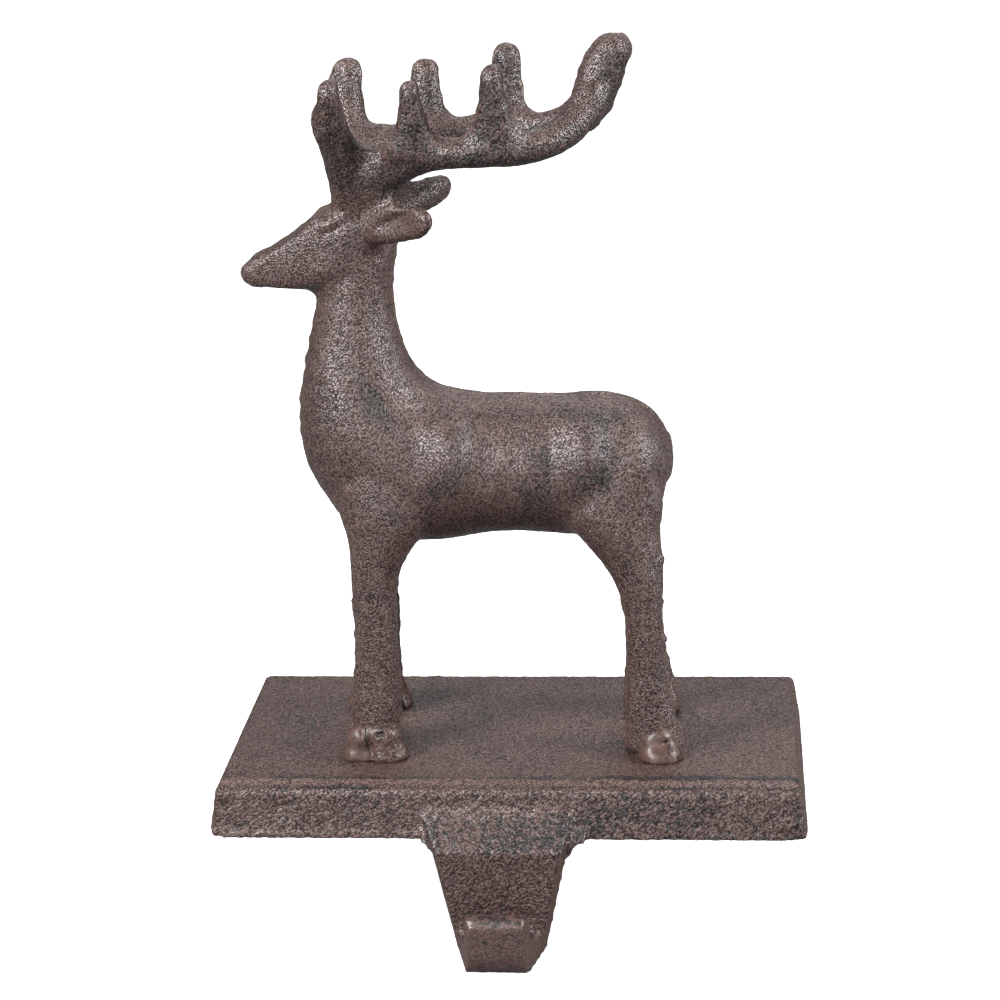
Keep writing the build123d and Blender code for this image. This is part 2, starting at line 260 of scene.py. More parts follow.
class NodeHand:
    """Adds nodes to one node tree and joins their sockets."""

    def __init__(self, tree: bpy.types.NodeTree) -> None:
        """Keep the tree that the nodes go into."""
        self.tree = tree

    @classmethod
    def for_group(
        cls, name: str, values: list[str], outputs: list[str]
    ) -> tuple["NodeHand", dict[str, Socket]]:
        """Start a node group with an input Vector.

        Args:
            name: Name of the group.
            values: Its other inputs, all of them values.
            outputs: Its outputs, all of them values.

        Returns:
            The hand that fills the group, and the group's inputs by name.
        """
        tree = bpy.data.node_groups.new(name, "ShaderNodeTree")
        tree.interface.new_socket("Vector", in_out="INPUT", socket_type="NodeSocketVector")
        for socket in values:
            tree.interface.new_socket(socket, in_out="INPUT", socket_type="NodeSocketFloat")
        for socket in outputs:
            tree.interface.new_socket(socket, in_out="OUTPUT", socket_type="NodeSocketFloat")
        hand = cls(tree)
        entry = hand.add("NodeGroupInput")
        return hand, {socket: entry.outputs[socket] for socket in ("Vector", *values)}

    @classmethod
    def for_material(cls, name: str) -> tuple["NodeHand", bpy.types.Material]:
        """Start an empty material.

        Args:
            name: Name of the material.

        Returns:
            The hand that fills the material, and the material.
        """
        made = bpy.data.materials.new(name)
        made.use_nodes = True
        made.node_tree.nodes.clear()
        return cls(made.node_tree), made

    def add(
        self, kind: str, inputs: dict[str | int, object] | None = None, **settings: object
    ) -> bpy.types.Node:
        """Add one node.

        Args:
            kind: Type name of the node.
            inputs: Sockets by name or number, each with a value or with the socket that feeds it.
            settings: Properties of the node.

        Returns:
            The new node.
        """
        node = self.tree.nodes.new(kind)
        for name, value in settings.items():
            setattr(node, name, value)
        for key, value in (inputs or {}).items():
            if isinstance(value, Socket):
                self.tree.links.new(value, node.inputs[key])
            else:
                node.inputs[key].default_value = value
        return node

    def math(self, operation: str, first: object, second: object) -> Socket:
        """Add a Math node on two values or sockets and return its result."""
        return self.add("ShaderNodeMath", {0: first, 1: second}, operation=operation).outputs[0]

    def plus(self, first: object, second: object) -> Socket:
        """Sum of two values or sockets."""
        return self.math("ADD", first, second)

    def minus(self, first: object, second: object) -> Socket:
        """Difference of two values or sockets."""
        return self.math("SUBTRACT", first, second)

    def times(self, first: object, second: object) -> Socket:
        """Product of two values or sockets."""
        return self.math("MULTIPLY", first, second)

    def step(self, value: Socket, low: float, high: float) -> Socket:
        """Add a soft step of a socket between two levels and return its result."""
        inputs = {"Value": value, "From Min": low, "From Max": high}
        return self.add("ShaderNodeMapRange", inputs, interpolation_type="SMOOTHSTEP").outputs["Result"]

    def mask(self, name: str) -> Socket:
        """Add a mask that the mesh keeps and return its value."""
        return self.add("ShaderNodeAttribute", attribute_name=name).outputs["Fac"]

    def blend(self, share: Socket, first: Socket | Triple, second: Triple) -> Socket:
        """Mix a colour into another one.

        Args:
            share: Mask of the second colour.
            first: The colour below, or the socket that gives it.
            second: The colour that is mixed in.

        Returns:
            The mixed colour.
        """
        below = first if isinstance(first, Socket) else (*first, 1.0)
        inputs = {MIX_SHARE: share, MIX_FIRST: below, MIX_SECOND: (*second, 1.0)}
        return self.add("ShaderNodeMix", inputs, data_type="RGBA").outputs[MIX_RESULT]

    def bump(self, height: Socket, strength: float, depth: float) -> Socket:
        """Add a bump of a height, as deep as `depth` in metres, and return its normal."""
        inputs = {"Strength": strength, "Distance": depth, "Height": height}
        return self.add("ShaderNodeBump", inputs).outputs["Normal"]


@dataclass(frozen=True)
class SandGrain:
    """Sand grain of a casting: short slanting ridges, hollows between them and small pits.

    Each pair of levels says where a soft step starts and where it is full.
    """

    slant: float = -45.0
    stretch: Triple = (1.0, 1.0, 0.62)
    ridge_detail: float = 2.0
    ridge_waver: float = 0.4
    ridge_share: float = 1.1
    cell_softness: float = 0.3
    cell_share: float = 0.45
    plate_levels: Span = (0.27, 0.41)
    plate_share: float = 0.25
    dust_scale: float = 3600.0
    dust_share: float = 0.15
    pit_levels: Span = (0.14, 0.06)
    pit_share: float = 0.4
    cavity_levels: Span = (0.35, 0.28)
    peak_levels: Span = (0.40, 0.54)

    def group(self) -> bpy.types.NodeTree:
        """Build the node group.

        Returns:
            The group, with outputs Height, Peaks, Cavity and Pits.
        """
        hand, entry = NodeHand.for_group(
            "cast_grain",
            ["Grain Scale", "Pebble Scale", "Pit Scale", "Coarse"],
            ["Height", "Peaks", "Cavity", "Pits"],
        )
        place = entry["Vector"]
        turned = hand.add(
            "ShaderNodeVectorRotate",
            {"Vector": place, "Angle": radians(self.slant)},
            rotation_type="Y_AXIS",
        ).outputs[0]
        drawn = hand.add(
            "ShaderNodeVectorMath", {0: turned, 1: self.stretch}, operation="MULTIPLY"
        ).outputs[0]
        ridges = hand.add(
            "ShaderNodeTexNoise",
            {
                "Vector": drawn,
                "Scale": entry["Grain Scale"],
                "Detail": self.ridge_detail,
                "Distortion": self.ridge_waver,
            },
        ).outputs[0]
        cells = hand.add(
            "ShaderNodeTexVoronoi",
            {"Vector": drawn, "Scale": entry["Pebble Scale"], "Smoothness": self.cell_softness},
            feature="SMOOTH_F1",
        ).outputs["Distance"]
        dust = hand.add("ShaderNodeTexNoise", {"Vector": place, "Scale": self.dust_scale}).outputs[0]
        holes = hand.add("ShaderNodeTexVoronoi", {"Vector": place, "Scale": entry["Pit Scale"]})
        pits = hand.step(holes.outputs["Distance"], *self.pit_levels)
        rough = hand.minus(hand.times(ridges, self.ridge_share), hand.times(cells, self.cell_share))
        plate = hand.times(hand.step(rough, *self.plate_levels), self.plate_share)
        height = hand.times(hand.plus(rough, plate), entry["Coarse"])
        height = hand.plus(height, hand.times(dust, self.dust_share))
        height = hand.minus(height, hand.times(pits, self.pit_share))
        cavity = hand.times(hand.step(rough, *self.cavity_levels), entry["Coarse"])
        peaks = hand.times(hand.step(rough, *self.peak_levels), entry["Coarse"])
        hand.add("NodeGroupOutput", {"Height": height, "Peaks": peaks, "Cavity": cavity, "Pits": pits})
        return hand.tree


@dataclass(frozen=True)
class RubbedPatinaAndShade:
    """Blue-black patina in patches and hollows, painted shade from the stain mask, and the lighter brown
    where the paint is rubbed.
    """

    patch_detail: float = 5.0
    patch_share: float = 1.2
    hollow_share: float = 0.3
    stain_and_shade_share: float = 0.6
    speck_detail: float = 2.0
    speck_share: float = 2.6
    wash_levels: Span = (0.22, 0.48)
    soot_least: float = 0.66
    soot_gain: float = 0.30
    dark_most: float = 0.88
    worn_levels: Span = (0.5, 0.95)

    def group(self) -> bpy.types.NodeTree:
        """Build the node group.

        Returns:
            The group, with outputs Dark, Soot and Bare.
        """
        hand, entry = NodeHand.for_group(
            "rubbed_patina_and_shade",
            ["Relief", "Stain And Shade", "Cavity", "Peaks", "Patch Scale", "Speck Scale", "Dark Level"],
            ["Dark", "Soot", "Bare"],
        )
        patch = self._uneven(hand, entry["Vector"], entry["Patch Scale"], self.patch_detail)
        low = hand.times(hand.minus(MIDDLE, entry["Relief"]), self.hollow_share)
        level = hand.plus(hand.plus(hand.times(patch, self.patch_share), low), entry["Dark Level"])
        # The stain mask brings patina and painted shade into the dark wash
        level = hand.plus(level, hand.times(entry["Stain And Shade"], self.stain_and_shade_share))
        speck = self._uneven(hand, entry["Vector"], entry["Speck Scale"], self.speck_detail)
        wash_and_shade = hand.step(hand.plus(level, hand.times(speck, self.speck_share)), *self.wash_levels)
        filled = hand.plus(hand.times(wash_and_shade, self.soot_gain), self.soot_least)
        soot = hand.times(entry["Cavity"], filled)
        dark = hand.times(wash_and_shade, self.dark_most)
        worn = hand.math("MAXIMUM", hand.step(entry["Relief"], *self.worn_levels), entry["Peaks"])
        bare = hand.times(worn, hand.minus(1.0, dark))
        hand.add("NodeGroupOutput", {"Dark": dark, "Soot": soot, "Bare": bare})
        return hand.tree

    @staticmethod
    def _uneven(hand: NodeHand, place: Socket, scale: Socket, detail: float) -> Socket:
        """Add a noise that varies around zero and return its value."""
        inputs = {"Vector": place, "Scale": scale, "Detail": detail}
        return hand.minus(hand.add("ShaderNodeTexNoise", inputs).outputs[0], MIDDLE)


@dataclass(frozen=True)
class Effects:
    """Shader node groups that the finishes share."""

    grain: bpy.types.NodeTree
    patina_and_shade: bpy.types.NodeTree


@dataclass(frozen=True)
class CastFinish:
    """Painted and rubbed skin of one casting, with a glossy film on the tops of its grain.

    The scales count grains, pits, patches or specks to the metre.
    """

    slot: Iron
    brown: Triple
    black: Triple
    umber: Triple
    rubbed: Triple
    grain_scale: float
    pebble_scale: float
    pit_scale: float
    patch_scale: float
    speck_scale: float
    dark_level: float
    rough: float
    polished: float
    bump: float
    film: float
    film_bump: float
    shine: float
    film_ior: float = 1.7
    grain_depth: float = 0.35

    def material(self, effects: Effects) -> bpy.types.Material:
        """Build the material.

        Args:
            effects: The shared node groups.

        Returns:
            The finished material, named after its slot.
        """
        hand, made = NodeHand.for_material(self.slot.value + "_finish")
        place = hand.add("ShaderNodeTexCoord").outputs["Object"]
        grain = hand.add(
            "ShaderNodeGroup",
            {
                "Vector": place,
                "Grain Scale": self.grain_scale,
                "Pebble Scale": self.pebble_scale,
                "Pit Scale": self.pit_scale,
                "Coarse": hand.mask(COARSE),
            },
            node_tree=effects.grain,
        ).outputs
        patina_and_shade = hand.add(
            "ShaderNodeGroup",
            {
                "Vector": place,
                "Relief": hand.mask(RELIEF),
                "Stain And Shade": hand.mask(STAIN_AND_SHADE),
                "Cavity": grain["Cavity"],
                "Peaks": grain["Peaks"],
                "Patch Scale": self.patch_scale,
                "Speck Scale": self.speck_scale,
                "Dark Level": self.dark_level,
            },
            node_tree=effects.patina_and_shade,
        ).outputs
        paint = hand.blend(patina_and_shade["Dark"], self.brown, self.black)
        paint = hand.blend(patina_and_shade["Bare"], paint, self.rubbed)
        paint = hand.blend(patina_and_shade["Soot"], paint, self.umber)
        paint = hand.blend(grain["Pits"], paint, self.black)
        gloss = hand.add(
            "ShaderNodeMapRange",
            {"Value": grain["Peaks"], "To Min": self.rough, "To Max": self.polished},
        ).outputs["Result"]
        tops = hand.minus(1.0, grain["Cavity"])
        shader = hand.add(
            "ShaderNodeBsdfPrincipled",
            {
                "Base Color": paint,
                "Roughness": gloss,
                "Normal": hand.bump(grain["Height"], self.bump, self.grain_depth * MM),
                "Metallic": 0.0,
                "Specular IOR Level": self.shine,
                "Coat Weight": hand.times(tops, self.film),
                "Coat Roughness": self.polished,
                "Coat IOR": self.film_ior,
                "Coat Normal": hand.bump(grain["Height"], self.film_bump, self.grain_depth * MM),
            },
        )
        hand.add("ShaderNodeOutputMaterial", {"Surface": shader.outputs["BSDF"]})
        return made


@dataclass
class Casting:
    """One rigid piece of the object, made from its CAD solid with the skin of the real casting."""

    node: str
    name: str
    finish: CastFinish
    voxel: float
    crease: float
    smoothing: int
    finer: bool = False
    soften_share: float = 0.5
    swells: list[Swell] = field(default_factory=list)
    stains_and_shade: list[Swell] = field(default_factory=list)

    def make(self, effects: Effects) -> bpy.types.Object:
        """Build the piece, dress it and set it in the frame.

        Args:
            effects: The shared node groups.

        Returns:
            The finished piece.
        """
        mesh = self._mould()
        if self.finer:
            self._refine(mesh)
        self._work_skin(mesh)
        mesh.shade_smooth()
        mesh.materials.clear()
        mesh.materials.append(self.finish.material(effects))
        piece = bpy.data.objects.new(self.name, mesh)
        bpy.context.scene.collection.objects.link(piece)
        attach(piece, "root")
        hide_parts(self.node)
        return piece

    def _mould(self) -> bpy.types.Mesh:
        """Even mesh of the CAD solid, with the inner creases filled as a casting's fillets."""
        return self._close(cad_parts[self.node].data.copy(), self.crease, self.smoothing)

    def _close(self, rough: bpy.types.Mesh, crease: float, smoothing: int) -> bpy.types.Mesh:
        """Even out a closed mesh and fill its inner creases.

        Args:
            rough: The mesh to start from, which is used up.
            crease: Radius of the fillets, or 0 for none.
            smoothing: How often the result is smoothed.

        Returns:
            The new mesh.
        """
        blank = bpy.data.objects.new(self.name + "_blank", rough)
        bpy.context.scene.collection.objects.link(blank)
        self._remesh(blank)
        for reach in (crease, -crease) if crease else ():
            shift = blank.modifiers.new("shift", "DISPLACE")
            shift.strength = reach * MM
            shift.mid_level = 0.0
            self._remesh(blank)
        soften = blank.modifiers.new("soften", "SMOOTH")
        soften.factor = self.soften_share
        soften.iterations = smoothing
        graph = bpy.context.evaluated_depsgraph_get()
        mesh = bpy.data.meshes.new_from_object(blank.evaluated_get(graph))
        bpy.data.objects.remove(blank)
        bpy.data.meshes.remove(rough)
        mesh.name = self.name
        return mesh

    def _remesh(self, blank: bpy.types.Object) -> None:
        """Add a voxel remesh to an object.

        Args:
            blank: The object that gets the modifier.
        """
        even = blank.modifiers.new("even", "REMESH")
        even.mode = "VOXEL"
        even.voxel_size = self.voxel * MM

    def _refine(self, mesh: bpy.types.Mesh) -> None:
        """Halve the faces where the skin needs more points.

        Args:
            mesh: The mesh to change.
        """
        marked = self.busy(Surface.read(mesh))
        work = bmesh.new()
        work.from_mesh(mesh)
        edges = [edge for edge in work.edges if all(marked[corner.index] for corner in edge.verts)]
        bmesh.ops.subdivide_edges(work, edges=edges, cuts=1, use_grid_fill=True)
        work.to_mesh(mesh)
        work.free()
        mesh.update()

    def _work_skin(self, mesh: bpy.types.Mesh) -> None:
        """Push the skin of the real casting into the mesh and keep the masks for its finish.

        Args:
            mesh: The mesh to work on.
        """
        plain = Surface.read(mesh)
        bulge = plain.zeros()
        for swell in self.swells:
            bulge += swell.weight(plain.points)
        self._push(mesh, plain, bulge)
        shaped = Surface.read(mesh)
        skin = self.skin(shaped)
        self._push(mesh, shaped, skin)
        # Patina and painted shade, from the piece and from its single marks, kept in one mask
        stain_and_shade = self.stain_and_shade(shaped)
        for mark in self.stains_and_shade:
            stain_and_shade += mark.weight(shaped.points)
        self._keep(mesh, RELIEF, MIDDLE + (skin - skin.mean()) / (RELIEF_SPAN * skin.std() + TINY))
        self._keep(mesh, STAIN_AND_SHADE, np.clip(stain_and_shade, -1.0, 1.0))
        self._keep(mesh, COARSE, self.coarse(shaped))

    def busy(self, at: Surface) -> np.ndarray:
        """Which points lie where the skin needs a finer mesh: none, unless a piece says so."""
        return np.zeros(len(at.points), dtype=bool)

    def skin(self, at: Surface) -> np.ndarray:
        """Height of the skin at each point, in millimetres: none, unless a piece says so."""
        return at.zeros()

    def stain_and_shade(self, at: Surface) -> np.ndarray:
        """Strength of the patina and painted shade at each point, before the single marks: none, unless a
        piece says so.
        """
        return at.zeros()

    def coarse(self, at: Surface) -> np.ndarray:
        """How coarse the sand left the skin at each point, from 0 to 1: full, unless a piece says so."""
        return at.zeros() + 1.0

    @staticmethod
    def _push(mesh: bpy.types.Mesh, at: Surface, height: np.ndarray) -> None:
        """Move the vertices of a mesh along the direction of its surface.

        Args:
            mesh: The mesh to change.
            at: Its surface.
            height: How far each vertex moves, in millimetres.
        """
        moved = (at.points + at.normals * height[:, None]) * MM
        mesh.vertices.foreach_set("co", moved.astype(np.float32).ravel())
        mesh.update()

    @staticmethod
    def _keep(mesh: bpy.types.Mesh, name: str, values: np.ndarray) -> None:
        """Store one value for each vertex, for the finish to read."""
        mesh.attributes.new(name, "FLOAT", "POINT").data.foreach_set("value", values.astype(np.float32))


@dataclass
class StagFigure(Casting):
    """Standing stag with one pair of antlers, cast in a two-part mould.

    Each pair says where a soft step starts and where it is full.
    """

    sand_size: float = 1.5
    sand_height: float = 0.14
    wave_size: float = 2.6
    wave_height: float = 0.1
    seam_width: float = 0.5
    seam_height: float = 0.55
    seam_break: float = 3.5
    seam_facing: Span = (0.7, 0.4)
    stance: float = 12.0
    knee: float = 46.0
    valley: float = 3.4
    rail_foot: float = 143.0
    rail_half: float = 15.0
    rail_end: float = 8.0
    antler_root: Span = (132.0, 140.0)
    # Painted shade with some patina on the antlers, and painted shade under the belly
    antler_facing: Span = (0.6, 0.1)
    antler_shade_and_patina: float = 0.6
    belly_facing: Span = (0.2, 0.8)
    belly_shade: float = 0.35

    def _mould(self) -> bpy.types.Mesh:
        """Even mesh of the stag, with wider fillets between the tines than on the body.

        Returns:
            The new mesh.
        """
        whole = super()._mould()
        crown = self._close(self._crown(whole), self.valley, 2 * self.smoothing)
        work = bmesh.new()
        work.from_mesh(whole)
        work.from_mesh(crown)
        work.to_mesh(whole)
        work.free()
        bpy.data.meshes.remove(crown)
        return self._close(whole, 0.0, self.smoothing)

    def _crown(self, whole: bpy.types.Mesh) -> bpy.types.Mesh:
        """Cut off the antlers as a closed mesh of their own.

        Args:
            whole: Mesh of the stag.

        Returns:
            The new mesh.
        """
        work = bmesh.new()
        work.from_mesh(whole)
        bmesh.ops.bisect_plane(
            work,
            geom=[*work.verts, *work.edges, *work.faces],
            plane_co=(0.0, 0.0, self.rail_foot * MM),
            plane_no=(0.0, 0.0, 1.0),
            clear_inner=True,
        )
        bmesh.ops.holes_fill(work, edges=[edge for edge in work.edges if edge.is_boundary])
        crown = bpy.data.meshes.new("crown")
        work.to_mesh(crown)
        work.free()
        return crown

    def skin(self, at: Surface) -> np.ndarray:
        """Sand grain all over and the ragged seams where the two moulds met.

        Args:
            at: The surface to work on.

        Returns:
            Height in millimetres at each point.
        """
        sand = self.sand_height * pebbles(at.points, self.sand_size, Draw.FIGURE_SAND)
        waves = self.wave_height * cloud(at.points, self.wave_size, Draw.FIGURE_WAVES)
        side = np.abs(at.y - FIGURE_MID)
        seam = np.where(at.z < self.knee, side - self.stance, side)
        rails = (at.z > self.rail_foot) & (at.x < self.rail_end)
        seam = np.where(rails, side - self.rail_half, seam)
        line = ridge(seam, 0.0, self.seam_width) * ramp(np.abs(at.front), *self.seam_facing)
        ragged = np.clip(MIDDLE + cloud(at.points, self.seam_break, Draw.SEAM_BREAKS), 0.0, 1.0)
        return sand + waves + self.seam_height * line * ragged

    def stain_and_shade(self, at: Surface) -> np.ndarray:
        """Painted shade under the belly, and painted shade with some patina on the sides and undersides of
        the antlers.

        Args:
            at: The surface to work on.

        Returns:
            Strength of the painted shade and patina at each point.
        """
        # Painted shade on the faces that turn down under the belly
        under = ramp(-at.up, *self.belly_facing)
        # Painted shade with some patina on the antler faces that do not face up
        antlers = ramp(at.z, *self.antler_root) * ramp(at.up, *self.antler_facing)
        return self.belly_shade * under + self.antler_shade_and_patina * antlers


@dataclass
class HookPlinth(Casting):
    """Hollow plinth with the hanging arm and the upturned hook, in one casting.

    Each pair says where a soft step starts and where it is full.
    """

    arm_mid: float = -1.5
    arm_half: float = 16.0
    tongue: Span = (-8.0, -9.0)
    top_facing: Span = (0.6, 0.9)
    front_facing: Span = (0.3, 0.8)
    under_facing: Span = (0.3, 0.8)

    # Finer mesh on the strip with the bead and on the front
    busy_strip: float = 9.5
    busy_floor: float = 8.0
    busy_front: float = 3.0
    busy_facing: float = 0.3

    # Sand lumps on the front and the fine grain elsewhere
    lump_size: float = 1.1
    lump_stretch: float = 0.5
    lump_share: float = 0.7
    pebble_size: float = 2.0
    pebble_share: float = 0.6
    lump_sink: float = 0.3
    lump_height: float = 0.2
    fine_size: float = 1.8
    fine_height: float = 0.04
    under_height: float = 0.1
    ragged_size: float = 2.2
    ragged_mean: float = 0.6
    ragged_most: float = 1.2

    # Rim above the arm
    rim_place: float = 5.9
    rim_width: float = 0.7
    rim_depth: Span = (3.0, 2.0)
    rim_height: float = 0.45

    # Bead along the front of the top, between two lines
    bead_place: float = 5.1
    bead_width: float = 1.2
    bead_height: float = 0.12
    back_line: float = 7.3
    back_depth: float = 0.42
    front_line: float = 3.1
    front_depth: float = 0.4
    line_width: float = 0.5
    line_facing: Span = (0.5, 0.8)
    line_start: Span = (-57.0, -51.0)
    sway: float = 0.3
    sway_size: float = 9.0
    bare_place: float = -11.0
    bare_width: float = 9.0
    bare_share: float = 0.7
    faint_share: float = 0.35
    left_end: Span = (-20.0, -28.0)
    right_end: Span = (26.0, 36.0)
    break_size: float = 5.0
    break_share: float = 1.2
    break_most: float = 1.2

    # Bright lip along the bottom of the front, left of the arm
    lip_place: float = 0.9
    lip_width: float = 0.7
    lip_facing: Span = (0.3, 0.7)
    lip_end: Span = (-12.0, -20.0)
    lip_front: float = -1.0
    lip_height: float = 0.3
    lip_stain: float = 0.8

    # Patina in the lines and behind them, and darker along the bottom edge and on the slope
    back_stain: float = 1.3
    behind_gap: float = 1.4
    behind_width: float = 1.6
    behind_right: Span = (-8.0, 22.0)
    behind_left: float = -42.0
    behind_left_width: float = 8.0
    behind_left_stain: float = 0.6
    bottom_rise: Span = (1.1, 0.2)
    bottom_back: Span = (2.0, 0.5)
    bottom_front: Span = (-0.4, 0.0)
    bottom_darkening: float = 0.7
    slope_facing: Span = (0.35, 0.6)
    slope_back: float = 0.8
    slope_darkening: float = 0.6

    # How coarse the grain is on the faces of the plinth and the arm
    coarse_mean: float = 0.85
    coarse_least: float = 0.2
    front_coarse: float = 0.3
    slope_smooth: float = 0.25
    strip_back: Span = (10.0, 6.0)
    strip_front: Span = (0.0, 0.5)
    strip_coarse: float = 0.2
    corner_left: Span = (-48.0, -58.0)
    corner_back: Span = (25.0, 5.0)
    corner_coarse: float = 0.25
    flank_facing: Span = (0.6, 0.8)
    flank_smooth: float = 0.4

    def busy(self, at: Surface) -> np.ndarray:
        """The front and the strip with the bead.

        Args:
            at: The surface to work on.

        Returns:
            True for each point there.
        """
        strip = (at.y > 0.0) & (at.y < self.busy_strip) & (at.z > self.busy_floor)
        return strip | ((at.front > self.busy_facing) & (at.y < self.busy_front))

    def skin(self, at: Surface) -> np.ndarray:
        """Coarse sand lumps on the front, the two lines of the bead, and fine grain elsewhere.

        Args:
            at: The surface to work on.

        Returns:
            Height in millimetres at each point.
        """
        slant = np.column_stack([at.x - at.z, at.y, self.lump_stretch * (at.x + at.z)])
        lumps = self.lump_share * cloud(slant, self.lump_size, Draw.FRONT_LUMPS) - self.lump_sink
        lumps += self.pebble_share * pebbles(at.points, self.pebble_size, Draw.FRONT_SAND)
        fine = cloud(at.points, self.fine_size, Draw.PLINTH_FINE)
        fine *= self.fine_height + self.under_height * ramp(-at.up, *self.under_facing)
        ragged = self.ragged_mean + cloud(at.points, self.ragged_size, Draw.RAGGED_EDGE)
        ragged = np.clip(ragged, 0.0, self.ragged_most)
        across = np.abs(at.x - self.arm_mid) < self.arm_half
        rim = ridge(at.z, self.rim_place, self.rim_width) * across * ramp(at.y, *self.rim_depth)
        bead = ridge(at.y, self.bead_place, self.bead_width) * ramp(at.up, *self.top_facing)
        back, front = self._lines(at)
        edges = self.lip_height * self._lip(at) + self.rim_height * rim - self.back_depth * back
        height = fine + self.lump_height * self.coarse(at) ** 2 * lumps + edges * ragged
        return height + self.bead_height * bead - self.front_depth * front * self._breaks(at)

    def stain_and_shade(self, at: Surface) -> np.ndarray:
        """Patina in the lines of the bead and behind them, and darker along the bottom edge and on the
        slope.

        Args:
            at: The surface to work on.

        Returns:
            Strength of the patina and darkening at each point.
        """
        back, front = self._lines(at)
        behind = ridge(at.y, self.back_line + self.behind_gap, self.behind_width)
        behind *= ramp(at.up, *self.top_facing)
        left = self.behind_left_stain * ridge(at.x, self.behind_left, self.behind_left_width)
        behind *= ramp(at.x, *self.behind_right) + left
        bottom = ramp(at.z, *self.bottom_rise) * ramp(at.y, *self.bottom_back)
        bottom *= ramp(at.y, *self.bottom_front)
        lines = self.back_stain * back + front * self._breaks(at) + behind
        edges = self.bottom_darkening * bottom - self.lip_stain * self._lip(at)
        return lines + edges + self.slope_darkening * self._slope(at)

    def coarse(self, at: Surface) -> np.ndarray:
        """Coarse on the front, finer on the slope and the top, and finest on the tongue and the arm's sides.

        Args:
            at: The surface to work on.

        Returns:
            Share of the coarse grain at each point.
        """
        tongue = ramp(at.y, *self.tongue)
        front = ramp(at.front, *self.front_facing) * (1.0 - tongue)
        strip = ramp(at.y, *self.strip_back) * ramp(at.y, *self.strip_front)
        corner = ramp(at.x, *self.corner_left) * ramp(at.y, *self.corner_back)
        flank = ramp(at.side, *self.flank_facing) * (at.z < 0.0)
        rougher = self.strip_coarse * strip + self.corner_coarse * corner + self.front_coarse * front
        smoother = self.slope_smooth * self._slope(at) + self.flank_smooth * np.maximum(tongue, flank)
        return np.clip(self.coarse_mean + rougher - smoother, self.coarse_least, 1.0)

    def _lines(self, at: Surface) -> tuple[np.ndarray, np.ndarray]:
        """Masks of the lines behind and before the bead.

        Args:
            at: The surface to work on.

        Returns:
            The back line and the front line, each from 0 to 1.
        """
        along = np.zeros_like(at.points)
        along[:, 0] = at.x
        sway = self.sway * cloud(along, self.sway_size, Draw.LINE_SWAY)
        top = ramp(at.up, *self.line_facing) * ramp(at.x, *self.line_start)
        back = ridge(at.y, self.back_line + sway, self.line_width) * top
        front = ridge(at.y, self.front_line + sway, self.line_width) * top
        kept = 1.0 - self.bare_share * ridge(at.x, self.bare_place, self.bare_width)
        ends = np.maximum(ramp(at.x, *self.left_end), ramp(at.x, *self.right_end))
        return back * kept, front * (self.faint_share + (1.0 - self.faint_share) * ends)

    def _breaks(self, at: Surface) -> np.ndarray:
        """How whole the front line is at each point."""
        whole = MIDDLE + self.break_share * cloud(at.points, self.break_size, Draw.LINE_BREAKS)
        return np.clip(whole, 0.0, self.break_most)

    def _slope(self, at: Surface) -> np.ndarray:
        """Mask of the slope that leads from the plinth to the arm."""
        return ramp(at.up, *self.slope_facing) * (at.y < self.slope_back)

    def _lip(self, at: Surface) -> np.ndarray:
        """Mask of the bright lip along the bottom of the front, left of the arm."""
        low = ridge(at.z, self.lip_place, self.lip_width) * ramp(at.front, *self.lip_facing)
        return low * ramp(at.x, *self.lip_end) * (at.y > self.lip_front)


@dataclass
class FootWelds(Casting):
    """Weld beads that hold the four feet to the plinth."""

    wave_size: float = 3.0
    wave_height: float = 0.1
    smooth_share: float = 0.25
    rough_share: float = 0.5
    rough_left: Span = (-31.0, -28.5)
    rough_right: Span = (0.0, -10.0)

    def skin(self, at: Surface) -> np.ndarray:
        """Slight waves that the metal set in."""
        return self.wave_height * cloud(at.points, self.wave_size, Draw.WELD_WAVES)

    def coarse(self, at: Surface) -> np.ndarray:
        """Smooth where the metal ran, rougher on the right of the front bead."""
        rougher = ramp(at.x, *self.rough_left) * ramp(at.x, *self.rough_right)
        return self.smooth_share + self.rough_share * rougher


@dataclass(frozen=True)
class SoftBox:
    """Large soft light that faces the object, with its power in watts."""

    name: str
    place: Triple
    size: float
    power: float


